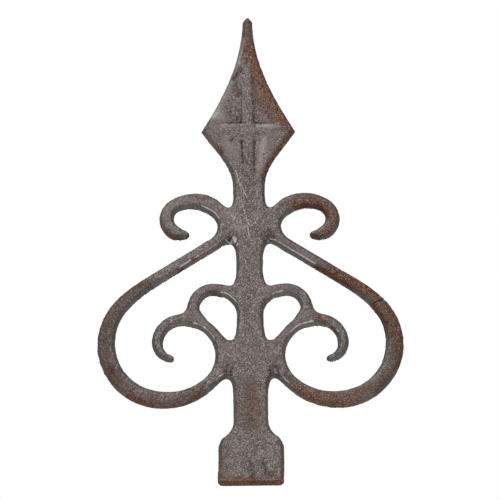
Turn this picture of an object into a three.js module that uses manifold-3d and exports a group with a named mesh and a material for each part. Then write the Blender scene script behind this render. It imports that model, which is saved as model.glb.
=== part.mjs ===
// Cast-iron fence finial: a spear head on a stem between two ribbon scrolls, poured as one flat casting.
// Millimetres, +Z up. The plate lies in the XZ plane, the parting line is at y = 0, the foot stands on z = 0.

import * as THREE from "three";
import { mergeVertices } from "three/addons/utils/BufferGeometryUtils.js";
import Module from "manifold-3d";

// The plate
const THICKNESS = 16;
const DRAFT_ANGLE = 10.5;
const EDGE_BREAK = 0.5;

// The stem, as half widths, and the foot it widens into
const NECK_HALF = 9.3;
const STEM_HALF = 7.8;
const LOWER_STEM_HALF = 10.2;
const FOOT_HALF = 19.2;
const FOOT_SHOULDER_HEIGHT = 20;
const FOOT_SHOULDER_ROUND = 9;
const FOOT_FILLET = 2.5;

// The heights at which the ribbon passes the stem
const LOWER_NODE_HEIGHT = 75.9;
const NODE_SPACING = 77.9;
const UPPER_NODE_HEIGHT = LOWER_NODE_HEIGHT + NODE_SPACING;

// Half of the spear head's outline: a small point, a hollow upper edge, a side corner, then in to the neck
const TOP_HEIGHT = 279.4;
const POINT_DEPTH = 2.3;
const POINT_HALF = 2.8;
const HOLLOW_HALF = 3.2;
const HOLLOW_RISE = 37.1;
const CORNER_HALF = 27.6;
const CORNER_RISE = 33.8;
const UNDERCUT_HALF = 18;
const UNDERCUT_RISE = 20;
const NECK_RISE = 22.8;
const NECK_FLARE = 13.1;
const NECK_TOP = UPPER_NODE_HEIGHT + NECK_RISE;
const CORNER_HEIGHT = NECK_TOP + CORNER_RISE;

// The cross left standing on the head by four sunk facets, with its bar between the side corners
const RIB_HALF = 2.7;
const BAR_HALF = 3.2;
const FACET_DEPTH = 1.8;
const UPPER_FACET_DROP = 13;
const LOWER_FACET_DROP = 31.4;
const RIB_WALL_RUN = 0.5;
const BAR_LOWER_WALL_RUN = 4;

// The middle of the ribbon at the two nodes, where it runs upright
const UPPER_NODE = { x: 15.3, z: UPPER_NODE_HEIGHT, half: 3.2 };
const LOWER_NODE = { x: 17, z: LOWER_NODE_HEIGHT, half: 3.4 };
const UPPER_NODE_FILLET = 8.3;
const LOWER_NODE_FILLET = 10.8;
const STEM_FILLET = 12;

// The hooks that curl up and out of the upper node
const HOOK_RISE_RADIUS = 13.6;
const HOOK_CROWN_RADIUS = 22.1;
const HOOK_BEND_RADIUS = 9.3;
const HOOK_TIP_RADIUS = 11.3;
const HOOK_ROOT_HALF = 5.2;
const HOOK_CROWN_HALF = 4.1;
const HOOK_BEND_HALF = 4.3;
const HOOK_TIP_HALF = 2.5;

// The arms that slope down and out of the upper node, and their shoulders into the sweeps
const ARM_RADIUS = 13.6;
const ARM_RUN = 41.7;
const ARM_ROOT_HALF = 3.8;
const ARM_HALF = 3.9;
const SHOULDER_PULL_UP = 21.7;
const SHOULDER_PULL_DOWN = 16.5;

// The big sweeps round the outside and under into the lower node
const SWEEP_ROOT_RADIUS = 22.1;
const SWEEP_BOTTOM_RADIUS = 37.4;
const SWEEP_SIDE_RADIUS = 33.2;
const SWEEP_ROOT_HALF = 4;
const SWEEP_BOTTOM_HALF = 5.2;
const SWEEP_SIDE_HALF = 5.3;

// The small scrolls that curl up and out of the lower node
const EYE_RISE_RADIUS = 21.6;
const EYE_CROWN_RADIUS = 13.8;
const EYE_TIP_RADIUS = 9.6;
const EYE_RISE_HALF = 3.6;
const EYE_CROWN_HALF = 3.3;
const EYE_TIP_HALF = 2.2;

// The small arch from the stem to the back of the eye
const ARCH_RISE = 36.7;
const ARCH_START = { x: 11.7, z: LOWER_NODE_HEIGHT + ARCH_RISE, half: 1 };
const ARCH_HEADING = 19.7;
const ARCH_RUN = 6.5;
const ARCH_CROWN_RADIUS = 11.5;
const ARCH_HALF = 3.6;
const ARCH_FILLET = 5.9;

// Each stretch of ribbon turns on a radius through an angle, or runs straight, and ends at its half width
const HOOK = [
  { radius: HOOK_RISE_RADIUS, turn: 59, half: HOOK_ROOT_HALF },
  { radius: HOOK_CROWN_RADIUS, turn: 59, half: HOOK_CROWN_HALF },
  { radius: HOOK_BEND_RADIUS, turn: 121, half: HOOK_BEND_HALF },
  { radius: HOOK_TIP_RADIUS, turn: 34, half: HOOK_TIP_HALF },
];
const ARM = [
  { radius: ARM_RADIUS, turn: 58.5, half: ARM_ROOT_HALF },
  { run: ARM_RUN, half: ARM_HALF },
];
const SWEEP = [
  { radius: SWEEP_ROOT_RADIUS, turn: 45, half: SWEEP_ROOT_HALF },
  { radius: SWEEP_BOTTOM_RADIUS, turn: 61.5, half: SWEEP_BOTTOM_HALF },
  { radius: SWEEP_SIDE_RADIUS, turn: 71, half: SWEEP_SIDE_HALF },
];
const EYE = [
  { radius: EYE_RISE_RADIUS, turn: 105, half: EYE_RISE_HALF },
  { radius: EYE_CROWN_RADIUS, turn: 73.8, half: EYE_CROWN_HALF },
  { radius: EYE_TIP_RADIUS, turn: 80.6, half: EYE_TIP_HALF },
];
const ARCH = [
  { run: ARCH_RUN, half: ARCH_HALF },
  { radius: ARCH_CROWN_RADIUS, turn: 130.4, half: ARCH_HALF },
];

// How finely curves and the outline are divided
const ARC_STEP = 6;
const CURVE_STEPS = 12;
const TRACE_STEP = 1;
const OUTLINE_TOLERANCE = 0.07;
const ROOM_STEPS = 8;
const ROOM_SHARE = 0.6;
const SHARPEST_MITRE = 0.3;
const MARGIN = 4;

const CLOCKWISE = -1;
const ANTICLOCKWISE = 1;
const radians = THREE.MathUtils.degToRad;

/** Points along a limb, each with its half width. The heading is in degrees from +X towards +Z. */
function limb(start, heading, hand, stretches) {
  const points = [{ ...start }];
  let angle = radians(heading);
  for (const stretch of stretches) {
    const from = points.at(-1);
    const turn = radians(stretch.turn ?? 0);
    const steps = Math.max(1, Math.round((stretch.turn ?? 0) / ARC_STEP));
    for (let i = 1; i <= steps; i += 1) {
      const share = i / steps;
      const half = THREE.MathUtils.lerp(from.half, stretch.half, share);
      if (stretch.run) {
        points.push({
          x: from.x + stretch.run * share * Math.cos(angle),
          z: from.z + stretch.run * share * Math.sin(angle),
          half,
        });
      } else {
        const swept = angle + hand * turn * share;
        points.push({
          x: from.x + hand * stretch.radius * (Math.sin(swept) - Math.sin(angle)),
          z: from.z - hand * stretch.radius * (Math.cos(swept) - Math.cos(angle)),
          half,
        });
      }
    }
    angle += hand * turn;
  }
  points.heading = angle;
  return points;
}

/** The shoulder: a curve that carries the straight arm over into the big sweep. */
function shoulder(arm, sweep) {
  const from = arm.at(-1);
  const to = sweep.at(-1);
  const curve = new THREE.CubicBezierCurve(
    new THREE.Vector2(from.x, from.z),
    new THREE.Vector2(
      from.x + SHOULDER_PULL_UP * Math.cos(arm.heading),
      from.z + SHOULDER_PULL_UP * Math.sin(arm.heading),
    ),
    new THREE.Vector2(
      to.x + SHOULDER_PULL_DOWN * Math.cos(sweep.heading),
      to.z + SHOULDER_PULL_DOWN * Math.sin(sweep.heading),
    ),
    new THREE.Vector2(to.x, to.z),
  );
  return curve.getPoints(CURVE_STEPS).map((point, i) => ({
    x: point.x,
    z: point.y,
    half: THREE.MathUtils.lerp(from.half, to.half, i / CURVE_STEPS),
  }));
}

const arm = limb(UPPER_NODE, -90, ANTICLOCKWISE, ARM);
const sweep = limb(LOWER_NODE, -90, ANTICLOCKWISE, SWEEP);
const RIBBON = [
  limb(UPPER_NODE, 90, CLOCKWISE, HOOK),
  arm,
  shoulder(arm, sweep),
  sweep,
  limb(LOWER_NODE, 90, CLOCKWISE, EYE),
];
const ARCH_LIMB = limb(ARCH_START, ARCH_HEADING, CLOCKWISE, ARCH);

/** The right half of the spear head's edge, from the point down to the side corner and in to the neck. */
function headEdge() {
  const corner = new THREE.Vector2(CORNER_HALF, CORNER_HEIGHT);
  const upper = new THREE.QuadraticBezierCurve(
    new THREE.Vector2(POINT_HALF, TOP_HEIGHT - POINT_DEPTH),
    new THREE.Vector2(HOLLOW_HALF, CORNER_HEIGHT + HOLLOW_RISE),
    corner,
  );
  const lower = new THREE.CubicBezierCurve(
    corner,
    new THREE.Vector2(UNDERCUT_HALF, NECK_TOP + UNDERCUT_RISE),
    new THREE.Vector2(NECK_HALF, NECK_TOP + NECK_FLARE),
    new THREE.Vector2(NECK_HALF, NECK_TOP),
  );
  const points = [...upper.getPoints(CURVE_STEPS), ...lower.getPoints(CURVE_STEPS).slice(1)];
  return points.map((point) => ({ x: point.x, z: point.y }));
}

/** A closed polygon from its right half, which starts and ends on the middle line. */
function mirrored(rightHalf) {
  const left = rightHalf.slice(1, -1).reverse();
  return [...rightHalf, ...left.map((point) => ({ x: -point.x, z: point.z }))];
}

const HEAD_POLYGON = mirrored([
  { x: 0, z: TOP_HEIGHT },
  ...headEdge(),
  { x: 0, z: NECK_TOP },
]);

// The head's sharp corners, which stay sharp in the traced outline
const SHARP_CORNERS = [
  { x: 0, z: TOP_HEIGHT },
  { x: POINT_HALF, z: TOP_HEIGHT - POINT_DEPTH },
  { x: -POINT_HALF, z: TOP_HEIGHT - POINT_DEPTH },
  { x: CORNER_HALF, z: CORNER_HEIGHT },
  { x: -CORNER_HALF, z: CORNER_HEIGHT },
];

/** The foot inside its corner rounding: straight sides, then shoulders at 45 degrees up to the stem. */
function footPolygon() {
  const half = FOOT_HALF - FOOT_SHOULDER_ROUND;
  const rise = FOOT_HALF - LOWER_STEM_HALF;
  return mirrored([
    { x: 0, z: FOOT_SHOULDER_HEIGHT + rise },
    { x: Math.max(0.1, half - rise), z: FOOT_SHOULDER_HEIGHT + rise },
    { x: half, z: FOOT_SHOULDER_HEIGHT },
    { x: half, z: -MARGIN },
    { x: 0, z: -MARGIN },
  ]);
}

const FOOT_POLYGON = footPolygon();

/** Distance from a point to a segment, and how far along the segment the nearest place is, from 0 to 1. */
function toSegment(x, z, a, b) {
  const dx = b.x - a.x;
  const dz = b.z - a.z;
  const share = THREE.MathUtils.clamp(
    ((x - a.x) * dx + (z - a.z) * dz) / (dx * dx + dz * dz), 0, 1,
  );
  return { distance: Math.hypot(x - a.x - share * dx, z - a.z - share * dz), share };
}

/** Signed distance to a limb of changing width, negative inside. */
function toLimb(x, z, points) {
  let nearest = Infinity;
  for (let i = 1; i < points.length; i += 1) {
    const { distance, share } = toSegment(x, z, points[i - 1], points[i]);
    const half = THREE.MathUtils.lerp(points[i - 1].half, points[i].half, share);
    nearest = Math.min(nearest, distance - half);
  }
  return nearest;
}

/** Signed distance to a polygon, negative inside. */
function toPolygon(x, z, polygon) {
  let nearest = Infinity;
  let inside = false;
  for (let i = 0; i < polygon.length; i += 1) {
    const a = polygon[i];
    const b = polygon[(i + 1) % polygon.length];
    nearest = Math.min(nearest, toSegment(x, z, a, b).distance);
    if ((a.z > z) !== (b.z > z) && x < a.x + ((z - a.z) / (b.z - a.z)) * (b.x - a.x)) {
      inside = !inside;
    }
  }
  return inside ? -nearest : nearest;
}

/** Signed distance to an upright bar on the middle line. */
function toBar(x, z, half, bottom, top) {
  const dx = x - half;
  const dz = Math.max(bottom - z, z - top);
  return Math.min(Math.max(dx, dz), 0) + Math.hypot(Math.max(dx, 0), Math.max(dz, 0));
}

/** Two shapes joined with a fillet of the given radius in the crotch between them. */
function filleted(a, b, radius) {
  return Math.max(radius, Math.min(a, b))
    - Math.hypot(Math.max(radius - a, 0), Math.max(radius - b, 0));
}

/** Signed distance to the whole outline at the parting line, the same on both sides of the middle line. */
function toOutline(signedX, z) {
  const x = Math.abs(signedX);
  const ribbon = Math.min(...RIBBON.map((points) => toLimb(x, z, points)));
  const arch = toLimb(x, z, ARCH_LIMB);
  const head = toPolygon(x, z, HEAD_POLYGON);
  const foot = toPolygon(x, z, FOOT_POLYGON) - FOOT_SHOULDER_ROUND;
  const neck = toBar(x, z, NECK_HALF, UPPER_NODE.z, CORNER_HEIGHT);
  const stem = toBar(x, z, STEM_HALF, LOWER_NODE.z, UPPER_NODE.z);
  const lowerStem = toBar(x, z, LOWER_STEM_HALF, 0, LOWER_NODE.z);
  const upper = filleted(Math.min(head, neck), ribbon, UPPER_NODE_FILLET);
  const middle = filleted(filleted(arch, ribbon, ARCH_FILLET), stem, STEM_FILLET);
  const lower = filleted(filleted(foot, lowerStem, FOOT_FILLET), ribbon, LOWER_NODE_FILLET);
  return Math.min(upper, middle, lower);
}

/** The way straight out of the outline at a point, as a unit vector. */
function outward(x, z) {
  const reach = TRACE_STEP / 10;
  const dx = toOutline(x + reach, z) - toOutline(x - reach, z);
  const dz = toOutline(x, z + reach) - toOutline(x, z - reach);
  const length = Math.hypot(dx, dz) || 1;
  return { x: dx / length, z: dz / length };
}

/** The half width and the lowest and highest points that the outline can reach. */
function outlineExtent() {
  const points = [...RIBBON.flat(), ...ARCH_LIMB];
  return {
    half: Math.max(FOOT_HALF, CORNER_HALF, ...points.map((p) => p.x + p.half)) + MARGIN,
    bottom: Math.min(0, ...points.map((p) => p.z - p.half)) - FOOT_SHOULDER_ROUND - 2 * MARGIN,
    top: Math.max(TOP_HEIGHT, ...points.map((p) => p.z + p.half)) + MARGIN,
  };
}

const EXTENT = outlineExtent();

/** Closed loops where the signed distance is zero, with the metal on the left of each. */
function traceOutline() {
  const { half, bottom, top } = EXTENT;
  const columns = 2 * Math.ceil(half / TRACE_STEP) + 1;
  const rows = Math.ceil((top - bottom) / TRACE_STEP);
  const xAt = (i) => (i - columns / 2) * TRACE_STEP;
  const zAt = (j) => bottom + j * TRACE_STEP;
  const values = [];
  for (let j = 0; j <= rows; j += 1) {
    const leftHalf = [];
    for (let i = 0; i <= columns / 2; i += 1) leftHalf.push(toOutline(xAt(i), zAt(j)));
    values.push(...leftHalf, ...leftHalf.reverse());
  }
  const value = (i, j) => values[j * (columns + 1) + i];
  const next = new Map();
  const places = new Map();
  const crossing = (i, j, k, l) => {
    const [a, b] = [value(i, j), value(k, l)];
    const key = i + j < k + l ? `${i},${j},${k},${l}` : `${k},${l},${i},${j}`;
    if (!places.has(key)) {
      const share = a / (a - b);
      places.set(key, settled(
        THREE.MathUtils.lerp(xAt(i), xAt(k), share),
        THREE.MathUtils.lerp(zAt(j), zAt(l), share),
      ));
    }
    return key;
  };
  for (let j = 0; j < rows; j += 1) {
    for (let i = 0; i < columns; i += 1) {
      const corners = [[i, j], [i + 1, j], [i + 1, j + 1], [i, j + 1]];
      const ins = [];
      const outs = [];
      corners.forEach((corner, side) => {
        const following = corners[(side + 1) % 4];
        const here = value(...corner) < 0;
        const there = value(...following) < 0;
        if (here && !there) outs.push(crossing(...corner, ...following));
        if (!here && there) ins.push(crossing(...corner, ...following));
      });
      outs.forEach((key, n) => next.set(key, ins[n]));
    }
  }
  const loops = [];
  while (next.size > 0) {
    const loop = [];
    let key = next.keys().next().value;
    while (next.has(key)) {
      loop.push(places.get(key));
      const following = next.get(key);
      next.delete(key);
      key = following;
    }
    loops.push(loop);
  }
  return loops;
}

/** A point drawn onto the zero line, so that the grid doesn't show in the outline. */
function settled(x, z) {
  const distance = toOutline(x, z);
  const out = outward(x, z);
  return { x: x - distance * out.x, z: z - distance * out.z };
}

/** A loop whose points next to a sharp corner give way to the corner itself. */
function withCorners(loop) {
  let result = loop;
  for (const corner of SHARP_CORNERS) {
    const away = (point) => Math.hypot(point.x - corner.x, point.z - corner.z);
    const nearest = result.reduce((best, point, i) => (away(point) < away(result[best]) ? i : best), 0);
    if (away(result[nearest]) < TRACE_STEP) {
      result = result.map((point, i) => (i === nearest ? corner : point));
      result = result.filter((point) => point === corner || away(point) > TRACE_STEP);
    }
  }
  return result;
}

/** An open run of points, with those left out that lie within the tolerance of a chord. */
function thinnedRun(run) {
  const [a, b] = [run[0], run.at(-1)];
  let worst = 0;
  let at = 0;
  for (let i = 1; i < run.length - 1; i += 1) {
    const { distance } = toSegment(run[i].x, run[i].z, a, b);
    if (distance > worst) [worst, at] = [distance, i];
  }
  if (worst <= OUTLINE_TOLERANCE) return [a, b];
  return [...thinnedRun(run.slice(0, at + 1)).slice(0, -1), ...thinnedRun(run.slice(at))];
}

/** A closed loop thinned between its lowest and its highest point. */
function thinned(loop) {
  const heights = loop.map((point) => point.z);
  const low = heights.indexOf(Math.min(...heights));
  const turned = [...loop.slice(low), ...loop.slice(0, low)];
  const turnedHeights = turned.map((point) => point.z);
  const high = turnedHeights.indexOf(Math.max(...turnedHeights));
  const up = thinnedRun(turned.slice(0, high + 1));
  const down = thinnedRun([...turned.slice(high), turned[0]]);
  return [...up, ...down.slice(1, -1)];
}

/** The unit vector out of the metal across an edge that has the metal on its left. */
function edgeOut(a, b) {
  const length = Math.hypot(b.x - a.x, b.z - a.z) || 1;
  return { x: (b.z - a.z) / length, z: -(b.x - a.x) / length };
}

/** The inset that a place has room for, short of the middle of the metal where both sides would meet. */
function roomInward(point, way, deepest) {
  const step = deepest / ROOM_STEPS;
  let depth = 0;
  for (let inset = step; inset < deepest / ROOM_SHARE + step; inset += step) {
    const next = -toOutline(point.x + way.x * inset, point.z + way.z * inset);
    if (next <= depth) return (inset - step) * ROOM_SHARE;
    depth = next;
  }
  return deepest;
}

/** The way into the metal from each point of a loop, mitred at corners, and the inset it has room for. */
function waysInward(loop, deepest) {
  return loop.map((point, i) => {
    const first = edgeOut(loop.at(i - 1), point);
    const second = edgeOut(point, loop[(i + 1) % loop.length]);
    const scale = 1 / Math.max(SHARPEST_MITRE, 1 + first.x * second.x + first.z * second.z);
    const way = { x: -(first.x + second.x) * scale, z: -(first.z + second.z) * scale };
    return { ...way, room: roomInward(point, way, deepest) };
  });
}

/** A loop moved into the metal by an inset, held back where the metal is too narrow for it. */
function insetLoop(loop, ways, inset) {
  return loop.map((point, i) => {
    const reach = Math.min(inset, ways[i].room);
    return { x: point.x + ways[i].x * reach, z: point.z + ways[i].z * reach };
  });
}

/** A closed plate whose sides lean in from the parting line to both faces, where the edges are broken. */
function plateGeometry(loops) {
  const half = THICKNESS / 2;
  const lean = Math.tan(radians(DRAFT_ANGLE));
  const edgeInset = (half - EDGE_BREAK) * lean;
  const faceInset = edgeInset + EDGE_BREAK;
  const levels = [
    { y: -half, inset: faceInset },
    { y: EDGE_BREAK - half, inset: edgeInset },
    { y: 0, inset: 0 },
    { y: half - EDGE_BREAK, inset: edgeInset },
    { y: half, inset: faceInset },
  ];
  const positions = [];
  const faces = [];
  const ways = loops.map((loop) => waysInward(loop, faceInset));
  const rings = levels.map(({ inset }) => loops.map((loop, n) => insetLoop(loop, ways[n], inset)));
  const firstIndex = [];
  levels.forEach(({ y }, level) => {
    firstIndex.push(positions.length / 3);
    rings[level].flat().forEach((point) => positions.push(point.x, y, point.z));
  });
  for (let level = 1; level < levels.length; level += 1) {
    let offset = 0;
    for (const loop of loops) {
      for (let i = 0; i < loop.length; i += 1) {
        const j = (i + 1) % loop.length;
        const a = firstIndex[level - 1] + offset + i;
        const b = firstIndex[level - 1] + offset + j;
        const c = firstIndex[level] + offset + j;
        const d = firstIndex[level] + offset + i;
        faces.push(a, c, b, a, d, c);
      }
      offset += loop.length;
    }
  }
  const toVector = (point) => new THREE.Vector2(point.x, point.z);
  const addCap = (level, front) => {
    const [outer, ...holes] = rings[level].map((loop) => loop.map(toVector));
    for (const [a, b, c] of THREE.ShapeUtils.triangulateShape(outer, holes)) {
      const corners = front ? [a, b, c] : [a, c, b];
      faces.push(...corners.map((index) => firstIndex[level] + index));
    }
  };
  addCap(0, true);
  addCap(levels.length - 1, false);
  return asGeometry(positions, faces);
}

function asGeometry(positions, faces) {
  const geometry = new THREE.BufferGeometry();
  geometry.setAttribute("position", new THREE.Float32BufferAttribute(positions, 3));
  geometry.setIndex(faces);
  return geometry;
}

const wasm = await Module();
wasm.setup();

/** A three.js geometry as a solid that can be joined and cut. */
function toSolid(geometry) {
  const bare = geometry.clone();
  bare.deleteAttribute("normal");
  bare.deleteAttribute("uv");
  const merged = mergeVertices(bare);
  return new wasm.Manifold(new wasm.Mesh({
    numProp: 3,
    vertProperties: new Float32Array(merged.attributes.position.array),
    triVerts: new Uint32Array(merged.index.array),
  }));
}

function toGeometry(solid) {
  const { vertProperties, triVerts } = solid.getMesh();
  const geometry = asGeometry(vertProperties, Array.from(triVerts));
  geometry.computeVertexNormals();
  return geometry;
}

/** A box from its lowest and highest corners. */
function block(low, high) {
  const size = new THREE.Vector3().subVectors(high, low);
  const middle = new THREE.Vector3().addVectors(low, high).multiplyScalar(0.5);
  return new THREE.BoxGeometry(size.x, size.y, size.z).translate(middle.x, middle.y, middle.z);
}

/** The cutter for one facet of the front face: a shallow cone from its deep corner out to the head's edge. */
function facet(corner, rim) {
  const face = -THICKNESS / 2;
  const clear = face - MARGIN;
  const outside = rim.map((point) => [point.x, clear, point.z]);
  const surface = rim.map((point) => [point.x, face, point.z]);
  const positions = [
    [corner.x, clear, corner.z], [corner.x, face + FACET_DEPTH, corner.z], ...outside, ...surface,
  ].flat();
  const faces = [];
  const count = rim.length;
  for (let i = 0; i + 1 < count; i += 1) {
    const [outA, outB] = [2 + i, 3 + i];
    const [inA, inB] = [outA + count, outB + count];
    faces.push(0, outA, outB, 1, inB, inA, outA, inA, inB, outA, inB, outB);
  }
  const [firstOut, lastOut] = [2, 1 + count];
  faces.push(0, 1, firstOut + count, 0, firstOut + count, firstOut);
  faces.push(0, lastOut, lastOut + count, 0, lastOut + count, 1);
  return asGeometry(positions, faces);
}

/** The points where the head's outline ends on the right, evenly spaced from one height to another. */
function rimPoints(from, to, count) {
  const reach = (z) => {
    let [inner, outer] = [RIB_HALF, EXTENT.half];
    while (outer - inner > OUTLINE_TOLERANCE) {
      const x = (inner + outer) / 2;
      if (toOutline(x, z) < 0) inner = x;
      else outer = x;
    }
    return inner;
  };
  return Array.from({ length: count + 1 }, (_, i) => {
    const z = THREE.MathUtils.lerp(from, to, i / count);
    return { x: reach(z), z };
  });
}

/** The two facets of the upper right and lower right quarter of the front face. */
function rightFacets() {
  const top = TOP_HEIGHT - UPPER_FACET_DROP;
  const barTop = CORNER_HEIGHT + BAR_HALF;
  const barBottom = CORNER_HEIGHT - BAR_HALF;
  const bottom = CORNER_HEIGHT - LOWER_FACET_DROP;
  const upper = facet(
    { x: RIB_HALF + RIB_WALL_RUN, z: barTop + RIB_WALL_RUN },
    [...rimPoints(barTop, top, CURVE_STEPS), { x: RIB_HALF, z: top }],
  );
  const lower = facet(
    { x: RIB_HALF + RIB_WALL_RUN, z: barBottom - BAR_LOWER_WALL_RUN },
    [{ x: RIB_HALF, z: bottom }, ...rimPoints(bottom, barBottom, CURVE_STEPS)],
  );
  return [upper, lower];
}

/** A geometry and its mirror images across the middle plane and the parting plane, as solids. */
function mirroredSolids(geometry) {
  const solid = toSolid(geometry);
  const pair = [solid, solid.mirror([1, 0, 0])];
  return [...pair, ...pair.map((half) => half.mirror([0, 1, 0]))];
}

/** How far a loop reaches from the middle line. The outer loop reaches furthest. */
function reachOf(loop) {
  return Math.max(...loop.map((point) => Math.abs(point.x)));
}

/** The whole casting: the drafted plate, cut flat under the foot, with the facets sunk in the head. */
function castingGeometry() {
  const traced = traceOutline().map((loop) => thinned(withCorners(loop)));
  traced.sort((a, b) => reachOf(b) - reachOf(a));
  let casting = toSolid(plateGeometry(traced));
  casting = casting.subtract(toSolid(block(
    new THREE.Vector3(-EXTENT.half, -THICKNESS, EXTENT.bottom),
    new THREE.Vector3(EXTENT.half, THICKNESS, 0),
  )));
  for (const geometry of rightFacets()) {
    for (const cutter of mirroredSolids(geometry)) casting = casting.subtract(cutter);
  }
  return toGeometry(casting);
}

const castIron = new THREE.MeshStandardMaterial({ color: 0x6f665f, roughness: 0.75, metalness: 0.6 });

const finial = new THREE.Group();
const casting = new THREE.Mesh(castingGeometry(), castIron);
casting.name = "finial_casting";
finial.add(casting);

export default finial;
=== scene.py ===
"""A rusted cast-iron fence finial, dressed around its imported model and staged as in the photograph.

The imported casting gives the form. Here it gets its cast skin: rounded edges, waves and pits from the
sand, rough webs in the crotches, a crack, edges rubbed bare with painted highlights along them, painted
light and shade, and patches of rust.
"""

import logging
import math
from dataclasses import dataclass, field
from enum import Enum

import bmesh
import bpy
import numpy as np
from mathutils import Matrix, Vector, noise
from mathutils.bvhtree import BVHTree
from mathutils.kdtree import KDTree

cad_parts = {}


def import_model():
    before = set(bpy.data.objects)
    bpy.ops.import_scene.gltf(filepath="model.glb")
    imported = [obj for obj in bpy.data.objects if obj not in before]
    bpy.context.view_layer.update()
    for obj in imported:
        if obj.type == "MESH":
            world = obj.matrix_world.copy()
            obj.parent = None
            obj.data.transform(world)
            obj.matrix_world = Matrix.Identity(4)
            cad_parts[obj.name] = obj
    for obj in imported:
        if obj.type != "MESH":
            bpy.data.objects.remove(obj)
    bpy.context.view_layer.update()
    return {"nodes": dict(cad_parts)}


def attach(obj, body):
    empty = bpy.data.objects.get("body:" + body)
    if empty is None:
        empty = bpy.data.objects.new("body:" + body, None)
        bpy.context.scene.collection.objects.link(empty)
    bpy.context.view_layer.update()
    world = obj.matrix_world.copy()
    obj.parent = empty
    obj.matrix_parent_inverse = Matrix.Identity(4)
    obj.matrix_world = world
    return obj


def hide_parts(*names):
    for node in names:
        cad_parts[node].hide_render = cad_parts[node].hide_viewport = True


MM = 0.001
FACE_FADE = 5 * MM
NODE = "finial_casting"
BODY = "root"

Pixel = tuple[float, float]
Colour = tuple[float, float, float]
Array = np.ndarray
Piece = bpy.types.Object
Socket = bpy.types.NodeSocket

WHITE = (1.0, 1.0, 1.0, 1.0)

log = logging.getLogger("finial")


class Face(Enum):
    """Which face of the plate a mark lies on."""

    FRONT = -1
    BACK = 1
    BOTH = 0


@dataclass(frozen=True)
class Photograph:
    """The photograph's frame, and how its pixels lie on the object's middle plane.

    The object leans a little in the picture, so its middle line drifts by `lean` pixels for each pixel
    of height. Heights are foreshortened, because the camera looks up from below.
    """

    size_px: float = 500.0
    mm_per_px: float = 0.585
    elevation_deg: float = -12.8
    middle_px: float = 251.0
    middle_row_px: float = 450.0
    foot_row_px: float = 482.5
    lean: float = 0.00833
    face_drop_mm: float = 1.8

    def place(self, pixel: Pixel) -> Vector:
        """Finds where a pixel of the photograph lies on the object's middle plane.

        Args:
            pixel: Pixels from the left and from the top of the photograph.

        Returns:
            The place in the plane y = 0, in metres.
        """
        column, row = pixel
        middle = self.middle_px - self.lean * (self.middle_row_px - row)
        across = (column - middle) * self.mm_per_px
        height = (self.foot_row_px - row) * self.mm_per_px / math.cos(math.radians(self.elevation_deg))
        return Vector((across * MM, 0.0, height * MM))

    def on_face(self, pixel: Pixel) -> Array:
        """Finds where a pixel lies on the front face, as its x and z in metres."""
        place = self.place(pixel)
        return np.array((place.x, place.z - self.face_drop_mm * MM))


PHOTO = Photograph()


@dataclass(frozen=True)
class Patch:
    """A soft-edged stretch of a finish along a line through pixels of the photograph.

    Its strength falls off over `reach` millimetres to either side of the line, and around the parting
    line towards the other face.
    """

    line: tuple[Pixel, ...]
    reach: float
    strength: float
    face: Face = Face.FRONT

    def share(self, points: Array) -> Array:
        """Works out the patch's strength at each point.

        Args:
            points: The places, in metres.

        Returns:
            One number for each place.
        """
        corners = [PHOTO.on_face(pixel) for pixel in self.line]
        flat = points[:, (0, 2)]
        nearest = np.full(len(points), np.inf)
        for start, end in zip(corners, corners[1:] or corners):
            nearest = np.minimum(nearest, distance_to_segment(flat, start, end))
        share = self.strength * np.exp(-((nearest / (self.reach * MM)) ** 2))
        if self.face is Face.BOTH:
            return share
        return share * np.clip(0.5 + points[:, 1] * self.face.value / FACE_FADE, 0, 1)


def distance_to_segment(places: Array, start: Array, end: Array) -> Array:
    """Measures how far flat places are from a straight line between two points."""
    along = end - start
    length = max(float(along @ along), 1e-12)
    share = np.clip((places - start) @ along / length, 0, 1)
    return np.linalg.norm(places - start - share[:, None] * along, axis=1)


def divided(a: Vector, b: Vector, step: float) -> list[Vector]:
    """Divides a straight line into even steps, and gives their ends."""
    count = max(1, round((b - a).length / step))
    return [a.lerp(b, index / count) for index in range(count + 1)]


def placed(name: str, data: bpy.types.ID) -> Piece:
    """Adds an object with its data to the scene."""
    piece = bpy.data.objects.new(name, data)
    bpy.context.scene.collection.objects.link(piece)
    return piece


def tree_of(places: list[Vector]) -> KDTree:
    """Makes a search tree of places."""
    tree = KDTree(len(places))
    for index, place in enumerate(places):
        tree.insert(place, index)
    tree.balance()
    return tree


def patches(*rows: tuple, face: Face = Face.FRONT) -> tuple[Patch, ...]:
    """Makes patches from rows, each a patch's reach and strength and then the pixels of its line."""
    return tuple(Patch(tuple(line), reach, strength, face) for reach, strength, *line in rows)


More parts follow.
